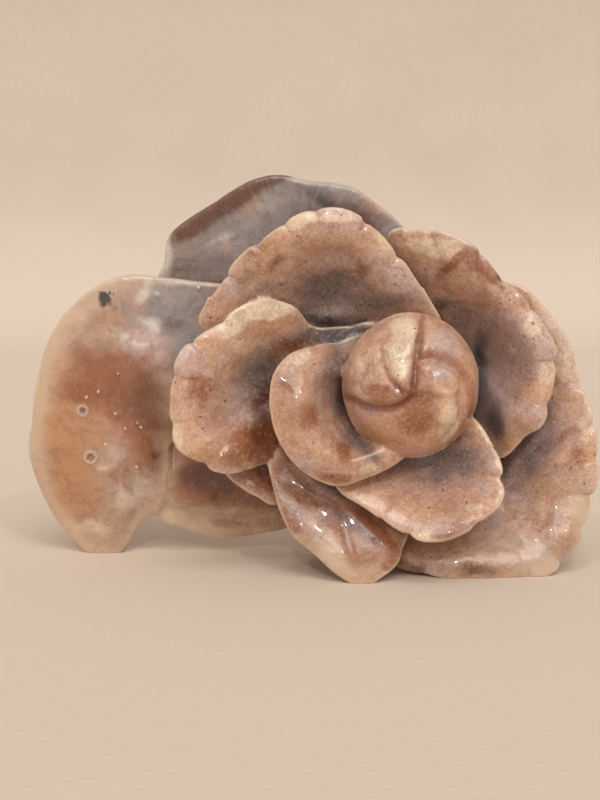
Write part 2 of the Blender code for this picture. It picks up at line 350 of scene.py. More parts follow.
def closed_skin(points, start, end):
    """Vertices and faces of a grid that is closed round its first direction and capped by a point at
    either end of its second."""
    around, across = points.shape[:2]
    vertices = np.concatenate((points.reshape(-1, 3), [start, end]))
    i = np.arange(around)[:, None]
    j = np.arange(across - 1)[None, :]
    nxt = (i + 1) % around
    quads = np.stack((i * across + j, i * across + j + 1, nxt * across + j + 1, nxt * across + j), -1)
    first = np.full(around, around * across)
    k = np.arange(around) * across
    after = np.roll(k, -1)
    caps = np.stack((first, k, after), 1).tolist()
    caps += np.stack((first + 1, after + across - 1, k + across - 1), 1).tolist()
    return vertices, quads.reshape(-1, 4).tolist() + caps


forms = []
for petal in PETALS:
    points, *grids = petal_grid(petal)
    front = np.array(petal.hollow) - (0, petal.edge / 2, 0)
    behind = np.array(petal.hollow) + (0, petal.root, 0)
    forms.append((petal.name, closed_skin(points, front, behind), (petal, *grids)))


# ---------------------------------------------------------------- bud
# The bud in the flower's heart is an egg of the same stone, left standing when the petals round it were
# ground. Its folded leaves are cut with a fine wheel: valleys along the folds, steps where one leaf overlaps
# the next, and rounded knobs between them.
BUD_CENTRE = np.array((17.8, -6.0, 32.2))
BUD_RADII = np.array((11.0, 9.6, 11.8))
BUD_GRID = (200, 110)
BUD_GROUND = 1.3  # how far the whole front is sunk before the knobs are set on it, in mm
SHOULDER = 0.4  # mm over which a fold's step rises
# The folds, as seen from the front: (x, z) along each from the bud's middle, then the width and the depth of
# its valley, how far the stone on the left of the line, walking along it, stands above the stone on the
# right, and how far that step reaches
BUD_FOLDS = (
    (((1.9, 11.4), (1.1, 9.3), (0.5, 7.1), (0.2, 4.7), (0.0, 2.2), (-0.3, 0.0)), 0.65, 1.5, 0.0, 1.0),
    (
        (
            (0.4, 5.4), (2.6, 5.8), (5.0, 5.1), (7.2, 3.6), (8.7, 1.2), (9.5, -1.6), (9.3, -4.5), (8.2, -7.0),
            (6.2, -9.2),
        ),
        1.1, 1.0, 1.0, 3.0,
    ),
    (((-10.2, -1.6), (-7.6, -2.6), (-4.5, -2.9), (-2.3, -2.2), (-0.3, -0.6)), 0.9, 0.7, 1.9, 4.0),
    (((-5.0, 6.4), (-4.7, 4.0), (-3.7, 1.9), (-2.2, 0.3), (-0.3, -0.3)), 0.6, 0.5, 0.9, 2.5),
)
# The knobs between the folds: (x, z) of the middle, half width and half height, tilt in degrees, and height
BUD_KNOBS = (
    ((5.3, 1.5), (3.5, 3.0), -20, 2.0),
    ((2.6, 4.0), (1.9, 1.7), -10, 1.1),
    ((5.9, -3.0), (2.2, 4.0), 8, 1.2),
    ((-2.0, 2.6), (1.8, 1.6), 0, 0.4),
)


def line_distance(line, x, z):
    """Distance from each (x, z) to a line of straight runs, and the sine of the angle at which it is seen
    from the line: 1 square to its left, -1 square to its right and 0 straight past its ends."""
    best = np.full(np.shape(x), np.inf)
    hand = np.zeros(np.shape(x))
    for (ax, az), (bx, bz) in zip(line, line[1:]):
        run = np.array((bx - ax, bz - az))
        length = math.hypot(*run)
        f = np.clip(((x - ax) * run[0] + (z - az) * run[1]) / length**2, 0, 1)
        gap = np.hypot(x - ax - run[0] * f, z - az - run[1] * f)
        seen = (run[0] * (z - az) - run[1] * (x - ax)) / length / np.maximum(gap, 1e-6)
        tied = np.isclose(gap, best) & (abs(seen) > abs(hand))
        hand = np.where(tied | (gap < best - 1e-6), seen, hand)
        best = np.minimum(best, gap)
    return best, hand


def ball(around, up):
    """A ball of radius 1, on a grid of longitude and latitude that stops short of the two poles."""
    lon = np.linspace(0, 2 * np.pi, around, endpoint=False)[:, None]
    lat = np.linspace(-np.pi / 2, np.pi / 2, up)[None, 1:-1]
    x, y = np.cos(lat) * np.cos(lon), np.cos(lat) * np.sin(lon)
    return np.stack(np.broadcast_arrays(x, y, np.sin(lat)), -1)


def tilted(x, z, middle, radii, tilt):
    """Each (x, z) measured from the middle of an ellipse along its tilted axes, in its half widths."""
    c, s = math.cos(math.radians(tilt)), math.sin(math.radians(tilt))
    x, z = x - middle[0], z - middle[1]
    return (x * c + z * s) / radii[0], (z * c - x * s) / radii[1]


def bud_grid():
    """A ball stretched to an egg and sunk by BUD_GROUND over its front. Along each fold it sinks by a bell
    curve of the distance, and the deepest fold at a place wins. Beside each fold a step rises over SHOULDER
    and dies away over the fold's reach. The highest knob at a place stands on top, as a dome."""
    unit = ball(*BUD_GRID)
    points = unit * BUD_RADII
    x, y, z = np.moveaxis(points, -1, 0)
    front = np.clip(-y / BUD_RADII[1], 0, 1) ** 0.5
    valley = np.zeros(x.shape)
    rise = np.zeros(x.shape)
    for line, width, depth, step, reach in BUD_FOLDS:
        gap, hand = line_distance(line, x, z)
        valley = np.maximum(valley, depth * np.exp(-((gap / width) ** 2)))
        rise += step / 2 * hand * (1 - np.exp(-gap / SHOULDER)) * np.exp(-gap / reach)
    knob = np.zeros(x.shape)
    for middle, radii, tilt, height in BUD_KNOBS:
        a, b = tilted(x, z, middle, radii, tilt)
        knob = np.maximum(knob, height * np.clip(1 - a * a - b * b, 0, 1) ** 0.6)
    sink = np.maximum(BUD_GROUND + valley - rise - knob, 0)
    return BUD_CENTRE + points - unit * (sink * front)[..., None]


pole = np.array((0, 0, BUD_RADII[2]))
forms.append(("bud", closed_skin(bud_grid(), BUD_CENTRE - pole, BUD_CENTRE + pole), None))


# ---------------------------------------------------------------- core
# Behind the petals the stone is left solid: a rounded core that the petals grow out of and that rests on the
# ground, and a thinner web that carries the leaves. Both are ground smooth.
LUMP_GRID = (120, 60)
# the middle of each, then its half sizes across, through and up, in mm
LUMPS = {
    "core": ((19.0, 13.0, 22.0), (23.0, 6.5, 24.5)),
    "web": ((-2.0, 16.5, 28.0), (24.0, 5.0, 17.0)),
}

for name, (centre, radii) in LUMPS.items():
    centre = np.array(centre)
    tip = np.array((0, 0, radii[2]))
    forms.append((name, closed_skin(centre + ball(*LUMP_GRID) * radii, centre - tip, centre + tip), None))


# ---------------------------------------------------------------- fused stone
# The flower is one stone, so all the forms above are fused into a single skin of even cells. The skin is
# then rippled a little, as grinding by hand leaves it, and thinned to what the library can take.
CELL = 0.34 * MM
TRIANGLES = 195000
RIPPLES = ((11.0, 0.12), (7.0, 0.07), (4.2, 0.03), (2.6, 0.015))  # wavelength and height in mm
RIPPLE_TURNS = (0.3, 2.3, 4.5)  # where the waves of one length head, in radians


def ripple(points):
    """A soft unevenness in mm: for each wavelength, three sine waves that cross at steep angles."""
    total = np.zeros(len(points))
    for k, (length, height) in enumerate(RIPPLES):
        for turn in RIPPLE_TURNS:
            way = np.array((math.cos(turn + k), 0.7 * math.sin(k + 2 * turn), math.sin(turn + k)))
            total += height / len(RIPPLE_TURNS) * np.sin(2 * math.pi / length * (points @ way) + 5 * turn)
    return total


def rows(items, field):
    """A mesh's vertices, or its normals, as rows of x, y, z."""
    values = np.empty(len(items) * 3, np.float32)
    items.foreach_get(field, values)
    return values.reshape(-1, 3).astype(float)


def applied(thing):
    """The mesh that an object's modifiers make."""
    bpy.context.view_layer.update()
    return bpy.data.meshes.new_from_object(thing.evaluated_get(bpy.context.evaluated_depsgraph_get()))


vertices = np.concatenate([points for name, (points, loops), origin in forms])
faces = []
count = 0
for name, (points, loops), origin in forms:
    faces += [tuple(v + count for v in loop) for loop in loops]
    count += len(points)
rough = bpy.data.meshes.new("rough_stone")
rough.from_pydata(((vertices - FOOTPRINT_CENTRE) * MM).tolist(), [], faces)
stone = bpy.data.objects.new("rough_stone", rough)
bpy.context.scene.collection.objects.link(stone)
fuse = stone.modifiers.new("fuse", "REMESH")
fuse.mode = "VOXEL"
fuse.voxel_size = CELL
solid = applied(stone)
place = rows(solid.vertices, "co")
place += rows(solid.vertex_normals, "vector") * ripple(place / MM)[:, None] * MM
place = np.clip(place, *cad_box)
solid.vertices.foreach_set("co", place.astype(np.float32).ravel())
stone.modifiers.clear()
stone.data = solid
thin = stone.modifiers.new("thin", "DECIMATE")
thin.ratio = TRIANGLES / (len(solid.loops) - 2 * len(solid.polygons))
mesh = applied(stone)
bpy.data.objects.remove(stone)
mesh.name = "amethyst_flower_stone"
place = np.clip(rows(mesh.vertices, "co"), *cad_box)
mesh.vertices.foreach_set("co", place.astype(np.float32).ravel())
mesh.shade_smooth()
flower = bpy.data.objects.new("carved_flower", mesh)
bpy.context.scene.collection.objects.link(flower)


# ---------------------------------------------------------------- bands, stains and painted shade
# The stone is a banded agate: grey-mauve at its heart, milky pink and cream further out, stained with iron
# along its cracks, with a blue-grey, clearer chalcedony behind. These stains grew in the stone before it was
# carved, except the dark spots and part of the grey ones, which lie in hollows, under rims and where parts
# meet:
# they are painted shade over the stone's own darker tone. Each is laid on the form that it shows on, by
# pigment
# and from the front, in mm: (x, z, half width, half height, tilt in degrees, strength).
STAINS = {
    "bud": {
        "rust": (
            (18.5, 30, 4.1, 3.7, 0, 0.35), (13, 31.5, 3.1, 1.2, -6, 0.9),
            (18.5, 29.5, 2.5, 3.4, 10, 0.8), (12.5, 32, 2.5, 1.2, -10, 0.7),
            (16.5, 26.5, 2.5, 1.2, -10, 0.4), (26, 26, 0.6, 2.2, 15, 0.4),
        ),
        "cream": (
            (16.5, 42, 2.3, 1.6, -15, 1), (15.5, 36, 1.4, 1.6, 0, 1), (14.5, 38.5, 2.5, 1.2, 10, 0.8),
            (9.5, 36, 0.9, 2.2, -10, 0.6), (23.5, 26, 1.6, 2.5, 0, 1), (23, 32, 1.4, 1.2, 0, 0.6),
            (23.5, 29, 0.9, 1.2, 10, 0.8),
        ),
        "peach": (
            (11, 39.5, 2.2, 2.5, 0, 0.6), (23, 27, 1.9, 3.4, 5, 1), (20.5, 24, 4.1, 1.4, 10, 1),
            (23, 32.5, 2.2, 1.9, 0, 1), (27, 33, 0.9, 4.4, 0, 1.1), (15, 26.5, 3.7, 1.6, 0, 0.6),
        ),
        "ochre": ((17.5, 26, 4.7, 2.8, 0, 0.45),),
        "amber": ((16, 25, 5.3, 2.5, 5, 1.2), (17, 24.5, 4.7, 1.9, 0, 0.9),),
        "grey": ((11, 29, 1.6, 0.8, -20, 0.4),),
        "lilac": (
            (23, 39, 2.3, 1.9, -40, 1), (22, 35, 1.6, 1.2, 0, 0.8), (10.5, 28.5, 2.5, 1.2, -30, 0.6),
            (14, 44, 2.5, 0.6, 0, 0.7),
        ),
        "rose": ((16.5, 22.5, 4.7, 0.9, -8, 0.7),),
        "brown": ((19, 39.5, 0.5, 3.4, -8, 0.5),),
    },
    "top_petal": {
        "cream": (
            (-1, 58.5, 2.3, 1.5, 30, 1), (5.5, 59, 4.9, 0.8, 2, 0.8), (13.5, 55.5, 2.3, 1.6, -40, 0.6),
        ),
        "lilac": (
            (12.5, 52, 2, 2, 0, 0.7), (16.5, 49, 2.6, 2.6, 30, 0.9), (-11, 48, 2, 2.6, 50, 0.6),
            (4.5, 52, 4.9, 1.6, 0, 0.6),
        ),
        "rose": ((5, 54, 5.6, 1.6, 0, 0.5), (4.5, 58.5, 3.6, 1.6, 0, 0.8), (10, 56.5, 2, 1.5, 0, 0.6),),
        "ochre": ((-7, 53, 3, 2.1, 40, 0.7), (3, 54, 4.9, 1.6, 0, 0.4), (-6, 52, 4.9, 2.6, 40, 0.5),),
        "rust": ((-7, 54, 1.3, 1.2, 40, 0.6), (-8, 50.5, 1.3, 0.8, 0, 0.4), (10, 51, 1.3, 1.6, 40, 0.4),),
        "brown": ((-4, 52, 2, 0.8, 45, 0.45), (-9, 49, 2, 1.3, 40, 0.45),),
        "peach": ((7.5, 56, 6.6, 1.3, 4, 0.5),),
        "grey": ((4, 47.5, 5.3, 2.5, 0, 1), (14, 45.5, 6.6, 1.3, 4, 0.8), (-7, 46.5, 3.3, 2, 40, 0.5),),
        "dark_and_painted_shade": ((3, 42, 4.6, 1.3, -12, 0.8),),
    },
    "left_petal": {
        "cream": (
            (-5, 44.5, 4.2, 1.6, 8, 1), (-11.5, 41.5, 2.3, 1.5, 30, 0.8), (-20.5, 24.5, 1.5, 2.6, 10, 1),
        ),
        "peach": ((-14.5, 22, 4.2, 2, 20, 0.7),),
        "rust": (
            (-16, 31.5, 2, 2.6, 0, 0.55), (-18, 33.5, 1.3, 0.3, 0, 0.5), (-1.5, 38.5, 3.6, 1.1, 25, 0.6),
            (-10.5, 20.5, 2.9, 1.3, 20, 0.8), (-4.5, 23, 2, 7.5, 0, 1.2), (-9, 22, 3.3, 2.4, 0, 1),
        ),
        "rose": ((-17, 37, 2.3, 2, 20, 0.6),),
        "ochre": (
            (-14.5, 27.5, 2.3, 2, 0, 0.45), (-6, 41.5, 4.9, 1.5, 15, 0.95), (-13, 21.5, 4.2, 2.3, 15, 1),
            (-10, 24.5, 2.6, 2.3, 0, 0.6),
        ),
        "lilac": ((-9.5, 30.5, 3.6, 1.8, 25, 0.7), (-10, 27.5, 1.5, 2, -40, 0.6),),
        "brown": (
            (-6, 28.5, 2, 4.2, 0, 0.7), (1.5, 38.5, 2.9, 1.5, 15, 0.7), (-2.5, 24.5, 1.5, 7.2, 0, 0.8),
            (-7, 23, 1.5, 3.3, 0, 0.5),
        ),
        "grey": (
            (-6, 34, 4.9, 3.3, 25, 0.9), (7.5, 40, 4.9, 1.6, 0, 1), (-5, 24.5, 1.5, 5.7, 0, 0.8),
            (5, 40.5, 6.5, 1, 10, 0.9),
        ),
        "dark_and_painted_shade": ((-5, 31, 2.9, 4.2, 0, 0.5), (7.5, 40, 5.5, 1.3, 5, 0.8), (3, 41, 3.6, 0.5, 12, 0.5),),
    },
    "right_petal": {
        "rust": (
            (25, 52, 3.3, 0.7, 50, 0.8), (29, 51.5, 2, 1.5, -30, 0.5), (30.5, 52.5, 2.5, 2.5, -45, 1.2),
            (32.5, 50, 2.3, 1.5, -50, 1.2), (36, 46, 1.2, 1.5, -50, 0.6),
        ),
        "lilac": (
            (29.5, 54, 1, 0.8, -30, 0.8), (30.5, 41.5, 2.3, 3.3, -30, 0.8), (38.5, 36.5, 3.3, 3, 0, 0.9),
            (36.5, 25, 2.6, 4.3, 30, 0.8), (33.5, 38.5, 2.3, 4.9, -20, 0.8), (34.5, 35, 2, 5.6, -8, 0.7),
        ),
        "brown": ((32, 49.5, 0.7, 1.5, -55, 0.5), (34, 29.5, 0.5, 1.3, -10, 0.4),),
        "dark_and_painted_shade": (
            (32, 25.5, 1.3, 3.6, 10, 0.7), (23.5, 45, 1.3, 2.6, -45, 0.6), (29.5, 31.5, 1.3, 7.2, -8, 1),
        ),
        "blue": (
            (33, 27.5, 1.5, 4.3, 10, 0.7), (26.5, 41, 1.5, 4.9, -30, 0.4), (29.5, 31, 1.8, 7.6, -8, 1),
        ),
        "ochre": ((22.5, 55, 2.3, 1.3, -20, 0.5), (36, 25.5, 2, 2.3, 0, 0.8), (34, 22.5, 1.6, 3, 0, 0.5),),
        "peach": ((18.5, 54, 3.9, 2, -10, 0.8),),
        "cream": (
            (20, 54.5, 3, 1, -15, 0.6), (37, 41.5, 1.8, 1.5, 0, 0.7), (40, 34, 1.8, 2, 0, 0.7),
            (34.5, 37.5, 1, 2, -8, 0.5), (23.5, 54, 3.6, 1.6, -10, 0.8),
        ),
        "rose": ((32.5, 43, 3, 2.3, -40, 0.7), (30.5, 43, 2.3, 3.3, -30, 0.6),),
        "grey": ((24, 46, 2.6, 1.2, -40, 0.3),),
    },
    "inner_left_petal": {
        "rust": (
            (-2.5, 33.5, 2.1, 1.6, 0, 0.9), (1, 28, 1.6, 2.5, 20, 0.9), (-1.5, 24, 1.6, 1.3, 0, 0.5),
            (7, 22, 1.4, 1.4, 20, 0.8), (5.5, 18, 2.9, 0.8, -8, 0.8), (0, 19, 2.5, 0.8, 30, 0.5),
        ),
        "amber": ((-1.5, 34, 2.5, 1.9, 0, 1.1),),
        "ochre": (
            (-1.5, 29.5, 3.2, 4.1, 0, 0.8), (8.5, 21, 2.9, 1.3, 18, 0.7), (-1.5, 35, 2.2, 1.6, 0, 0.8),
        ),
        "cream": ((11, 19.5, 1.6, 0.8, 18, 0.7), (0.5, 37, 1.4, 1, 40, 0.7),),
        "peach": ((3.5, 23, 2.5, 1.6, 0, 0.7), (-3, 28, 1.3, 3.2, 0, 0.9),),
        "lilac": (
            (2.5, 31, 0.8, 3.2, 12, 0.8), (1, 20.5, 2.2, 1.4, -30, 0.7), (6, 30.5, 1, 3.5, 10, 0.35),
        ),
        "rose": ((3, 26.5, 1.3, 2.2, 10, 0.5),),
        "grey": ((5.5, 35, 2.5, 4.1, -15, 0.8), (9, 23.5, 2.5, 1.9, -40, 0.9), (8, 40.5, 5.4, 1.3, 0, 1),),
        "dark_and_painted_shade": ((7.5, 32, 1.6, 6.4, -14, 0.75), (11, 22, 2.2, 1, -25, 0.6), (8, 40.5, 5.4, 1.3, 0, 0.7),),
    },
    "inner_low_petal": {
        "peach": ((9.5, 15.5, 2.9, 1.3, -20, 0.8), (17.5, 12.5, 2.9, 1.9, 0, 0.7),),
        "cream": ((19, 8, 2.1, 1.3, 0, 0.7), (32.5, 14.5, 1.1, 1.8, 0, 1), (27.5, 13, 1.9, 1.1, 10, 0.5),),
        "ochre": ((21, 9.5, 3.5, 1.1, 0, 0.7), (25, 12, 3.8, 1.6, 5, 0.6), (16, 10, 2.2, 1, -20, 0.5),),
        "rust": ((23.5, 8.5, 1.9, 1.4, 0, 0.95), (27.5, 10.5, 2.6, 1.3, 20, 0.7),),
        "rose": ((23.5, 14.5, 5.7, 1.6, 4, 0.7), (15, 14, 1.6, 1.6, 0, 0.5),),
        "grey": ((17.5, 19.5, 7.3, 1.4, 8, 0.9), (26, 20, 4.1, 2.6, 20, 0.8),),
        "dark_and_painted_shade": ((22.5, 22, 5.4, 0.8, 20, 0.6),),
        "brown": ((10.5, 17.5, 0.8, 0.6, 0, 0.9),),
        "lilac": ((28.5, 16.5, 3.5, 1.6, -10, 0.6),),
    },
    "low_petal": {
        "lilac": ((-2, 8.5, 2.3, 3.2, -40, 0.7), (7.5, 13, 1.3, 1.1, -40, 0.4),),
        "ochre": (
            (0, 8, 2.3, 1.6, -40, 0.5), (8, 3, 4.9, 1.9, -30, 0.5), (7, 7, 3.6, 1.6, -35, 1),
            (7.5, 10, 4.2, 1.3, -30, 0.7),
        ),
        "glass": ((6, 4, 4.5, 2.3, -32, 1), (12, 4, 2.3, 1.6, 20, 0.8),),
        "grey": ((3, 5.5, 4.2, 2.3, -32, 0.45),),
        "rust": (
            (3.5, 12, 2.9, 1.5, -25, 1), (11, 7.5, 3.6, 1.9, -45, 1.5), (14, 5, 3.9, 1.5, -50, 1.5),
            (-2.5, 12, 2.4, 3.6, 10, 1.2), (5.5, 11, 4.9, 1.5, -30, 0.9), (-2.5, 18, 1.9, 3.6, -10, 0.6),
            (-3, 13.5, 1.8, 2.3, 20, 1.1), (0, 15, 2.3, 1.6, 0, 0.8), (8, 5.5, 3.9, 1.5, -40, 0.7),
        ),
        "brown": ((9, 9, 4.2, 0.8, -34, 0.9), (0, 15, 2.3, 0.8, -30, 0.5),),
        "rose": ((0, 13, 1.6, 1.3, 0, 0.5),),
        "white": ((3.5, 3, 2.3, 1.3, -35, 0.35),),
    },
    "outer_right_petal": {
        "grey": (
            (39.5, 22, 3.7, 6, -25, 1), (38.5, 14.5, 3.3, 3.3, 0, 0.4), (44, 5, 4.3, 2.7, 20, 0.35),
            (33, 2, 7.4, 1.5, 0, 0.35),
        ),
        "dark_and_painted_shade": ((38.5, 22, 2.3, 4.3, -25, 0.4), (34.5, 18, 1.3, 5, 0, 0.6),),
        "rust": ((46, 21, 2, 3, 0, 0.6), (42, 9, 3, 1.3, 5, 0.5), (15, 2, 2, 1.3, 0, 0.9),),
        "ochre": (
            (42, 12, 4, 4, 5, 0.6), (45, 8.5, 4, 4.3, 10, 0.8), (32, 1.5, 5, 1.7, 0, 0.6),
            (25.5, 2, 4, 2, 0, 0.6),
        ),
        "rose": ((43.5, 22.5, 3.3, 2.3, 0, 0.7),),
        "peach": ((48.5, 17, 1.7, 5, 0, 0.6),),
        "glass": (
            (40.5, 1, 4, 2.7, 0, 1), (47, 10, 2.3, 4.7, 10, 0.8), (34, 5, 5.3, 2.7, 0, 0.8),
            (48.5, 26.5, 1.3, 2, 0, 0.6),
        ),
        "lilac": ((32, 0, 2.7, 1.5, -20, 0.8),),
        "brown": ((19, 1, 2.3, 1.2, -5, 0.8), (29.5, 1.5, 3.7, 1.2, -5, 0.6),),
        "white": ((41.5, 6, 2.3, 1, 0, 0.35),),
    },
    "back_arc_petal": {
        "white": ((44, 40, 5.1, 10.2, 0, 0.5),),
        "peach": ((44, 40, 5.1, 10.2, 0, 0.9),),
    },
    "tucked_petal": {
        "cream": ((-10.5, 13, 2.7, 0.8, -30, 1),),
        "rust": ((-6.5, 15, 3, 2.3, 0, 0.7), (-10, 16, 2, 1.3, -20, 0.4),),
    },
    "left_leaf": {
        "glass": ((-35.5, 27.5, 19.1, 24.3, 0, 1), (-35, 6, 5.2, 3.8, 0, 0.9),),
        "amber": (
            (-40.5, 20.5, 4.5, 10.4, 4, 0.9), (-39.5, 10.5, 4.2, 4.2, 0, 0.7),
            (-37.5, 26.5, 5.9, 5.9, 0, 0.9),
        ),
        "cream": (
            (-36.5, 5, 4.2, 2.8, 0, 0.5), (-31, 10, 3.1, 2.8, 0, 0.5), (-34, 16, 2.4, 1.2, 10, 0.5),
            (-36, 18, 0.9, 0.9, 0, 0.5),
        ),
        "rust": (
            (-32.5, 33.5, 8, 3.3, 6, 0.8), (-38.5, 36.5, 3.5, 1.4, -12, 0.25),
            (-37.5, 29, 3.8, 2.1, 0, 0.6), (-30.5, 14, 2.8, 1.6, -20, 0.45),
            (-31.5, 28.5, 4.9, 4.2, 0, 0.6), (-27, 22, 3.5, 6.2, 0, 0.9),
        ),
        "ochre": ((-33.5, 41.5, 4.5, 2.4, 10, 0.6),),
        "peach": ((-40.5, 41.5, 4.2, 3.1, 30, 0.6), (-41.5, 34.5, 2.4, 2.8, 20, 0.6),),
        "rose": (
            (-28, 45.5, 1.9, 2.8, 15, 0.8), (-30, 23, 5.5, 3.8, 0, 0.7), (-37, 40.5, 4.5, 3.5, 0, 0.5),
        ),
        "lilac": ((-31.5, 18.5, 3.8, 2.1, 0, 0.5), (-26.5, 37, 4.5, 3.8, 0, 0.8),),
        "blue": (
            (-20.5, 44.5, 7.3, 4.9, -6, 1), (-18.5, 36.5, 4.5, 5.9, 0, 0.9), (-26, 43, 3.5, 2.8, 0, 0.5),
        ),
        "white": (
            (-27, 46, 0.9, 2.4, -25, 0.7), (-24.5, 48, 6.9, 0.4, -4, 0.5),
            (-29.5, 38.5, 2.3, 0.4, -35, 0.7), (-26.5, 37.5, 2.1, 0.5, 5, 0.6),
            (-25, 40, 1.2, 1.4, 10, 0.6), (-32.5, 39, 2.8, 0.5, -30, 0.4),
            (-26, 41.5, 2.4, 0.9, 10, 0.5), (-16.5, 45.5, 2.4, 0.5, -20, 0.4),
            (-28.5, 12, 4.5, 4.5, 0, 0.45),
        ),
        "brown": (
            (-22, 41, 2.4, 1.6, 0, 0.5), (-25.5, 27.5, 3.8, 6.6, 0, 0.6),
            (-31.5, 28.5, 5.2, 3.8, 0, 0.2), (-25, 18, 0.7, 0.7, 0, 0.8), (-32, 43.5, 0.7, 0.9, 0, 0.5),
        ),
        "grey": ((-29.5, 36, 1.7, 1.4, 20, 0.35), (-27.5, 29, 1.7, 1.2, 20, 0.35),),
    },
    "low_leaf": {
        "glass": ((-19.5, 9.5, 10.5, 8.7, 0, 1),),
        "rust": (
            (-19, 16, 5.2, 2.8, 0, 1.2), (-16, 12.5, 5.2, 3.1, 0, 1.1), (-15, 16, 3.1, 1.6, -15, 1.4),
            (-6.5, 12, 5.9, 3.5, -20, 1.3), (-13, 5.5, 2.8, 0.6, -5, 1.5),
        ),
        "brown": (
            (-16.5, 14, 4.5, 2.4, -10, 1.1), (-6.5, 11.5, 4.9, 2.1, -20, 0.6),
            (-15, 11, 0.5, 2.4, 10, 0.9), (-12.5, 11.5, 0.4, 2.4, -12, 0.8),
        ),
        "white": ((-15.5, 12.5, 0.7, 0.7, 0, 0.9), (-12, 8, 1, 1, 0, 0.5), (-21, 4.5, 4.5, 0.9, 0, 0.4),),
        "grey": ((-24, 13.5, 0.5, 5.2, 0, 0.8),),
        "cream": ((-22, 6.5, 3.1, 2.1, 0, 0.5),),
    },
    "back_leaf": {
        "white": (
            (-24, 52.5, 1.4, 4.6, 0, 0.9), (-13, 56, 5.3, 1.2, 25, 0.45), (-4.5, 62, 3.2, 1.6, 30, 0.4),
        ),
        "blue": ((-1.5, 57, 26.5, 15.9, 0, 1),),
        "brown": (
            (-19, 57.5, 3.2, 1.6, 32, 1.3), (-12, 62, 5.7, 1.4, 30, 1.3), (-5, 66, 3.2, 1.1, 15, 1.3),
            (9, 58, 5.3, 3.9, -30, 0.7),
        ),
        "ochre": ((-9.5, 62, 2.8, 1.1, 30, 0.7), (-18, 56, 1.8, 1.1, 30, 0.5),),
        "grey": ((-15.5, 51, 7.8, 1.6, 5, 0.7), (3.5, 63.5, 3.5, 1.8, -10, 0.6),),
        "dark_and_painted_shade": ((-8, 49, 8.5, 1.1, 15, 0.6), (4.5, 61.5, 6, 0.9, -35, 0.6),),
        "rose": (
            (-13, 54, 3.9, 1.4, 20, 0.5), (-9.5, 60, 3.9, 1.2, 25, 0.5), (13, 61, 3.9, 2.5, -35, 0.6),
        ),
    },
}
# The pigments from the lowest to the top one: how much each hides what is under it, how far clouds push its
# edge about, and how soft its edge is
LAYERS = {
    "glass": (0.85, 0.9, 0.45),
    "blue": (0.85, 1.0, 0.4),
    "amber": (0.8, 1.0, 0.4),
    "peach": (0.7, 1.4, 0.3),
    "rose": (0.7, 1.4, 0.3),
    "lilac": (0.8, 1.4, 0.22),
    "grey": (0.85, 1.0, 0.4),
    "ochre": (0.75, 1.6, 0.3),
    "cream": (0.85, 1.3, 0.18),
    "rust": (0.85, 1.8, 0.28),
    "white": (0.7, 1.4, 0.3),
    "brown": (0.9, 1.2, 0.34),
    "dark_and_painted_shade": (0.85, 1.2, 0.4),
}
SPOT_FADE = 0.7  # one half width away a stain's strength has fallen to e to the power of minus this
FAR = 10.0  # mm within which gaps to a rim are told apart
NOTCH_FAR = 3.0  # mm within which gaps to a notch are told apart
GROOVE_ROUNDS = 4  # how many rings of neighbours a groove is looked for in


def stain(x, z, spots):
    """How much of one pigment there is. Spots that overlap add up like layers of paint, and each is a bell
    curve of the distance from its middle, measured along its own tilted axes."""
    bare = np.ones(len(x))
    for *ellipse, tilt, strength in spots:
        a, b = tilted(x, z, ellipse[:2], ellipse[2:], tilt)
        bare = bare * (1 - np.clip(strength * np.exp(-SPOT_FADE * (a * a + b * b)), 0, 1))
    return 1 - bare


# Each vertex of the fused skin takes its fields from the nearest point of the forms that it was made of.
tree = KDTree(len(vertices))
for i, point in enumerate(vertices.tolist()):
    tree.insert(point, i)
tree.balance()
at = place / MM + FOOTPRINT_CENTRE
nearest = np.array([tree.find(point)[1] for point in at.tolist()])
fields = {name: np.zeros(len(at)) for name in (*LAYERS, "depth", "around", "lobe", "crease")}
fields["rim_gap"] = np.full(len(at), FAR)
fields["notch_gap"] = np.full(len(at), NOTCH_FAR)
first = 0
for name, (points, loops), origin in forms:
    mine = np.flatnonzero((nearest >= first) & (nearest < first + len(points)))
    own = at[mine]
    for pigment, spots in STAINS.get(name, {}).items():
        fields[pigment][mine] = stain(own[:, 0], own[:, 2], spots)
    if name == "bud":
        x, y, z = (own - BUD_CENTRE).T
        for line, width, depth, step, reach in BUD_FOLDS:
            crease = np.exp(-((line_distance(line, x, z)[0] / width) ** 2)) * (y < 0)
            fields["crease"][mine] = np.maximum(fields["crease"][mine], crease)
    if origin is not None:
        petal, *grids = origin
        across, along, s, r = (grid.reshape(-1, *grid.shape[2:]) for grid in grids)
        which = np.minimum(nearest[mine] - first, len(r) - 1)
        off = own - points[which]
        lean_s = np.sum(off * across[which], 1) / np.sum(across[which] ** 2, 1)
        lean_r = np.sum(off * along[which], 1) / np.sum(along[which] ** 2, 1)
        s = (s[which] + lean_s) % len(petal.rim)
        r = np.clip(r[which] + lean_r, 0, 1)
        reach = np.linalg.norm((smooth_loop(petal.rim, s) - petal.hollow) * (1, 0, 1), axis=1)
        fields["rim_gap"][mine] = np.clip((1 - r) * reach, 0, FAR)
        fields["depth"][mine] = 0 if "leaf" in name else 1 - r
        table_s, table_mm = rim_table(petal)
        mm = np.interp(s, table_s, table_mm)
        fields["around"][mine] = mm
        if petal.notches:
            fields["lobe"][mine] = lobes(petal, s)[2]
            cuts = np.interp(petal.notches, table_s, table_mm)
            gap = np.clip(np.min([abs(mm - cut) for cut in cuts], axis=0), 0, NOTCH_FAR)
            # its sign changes at each notch, so that it passes through nothing right at the cut
            fields["notch_gap"][mine] = np.where(np.searchsorted(cuts, mm) % 2 == 0, gap, -gap)
    first += len(points)


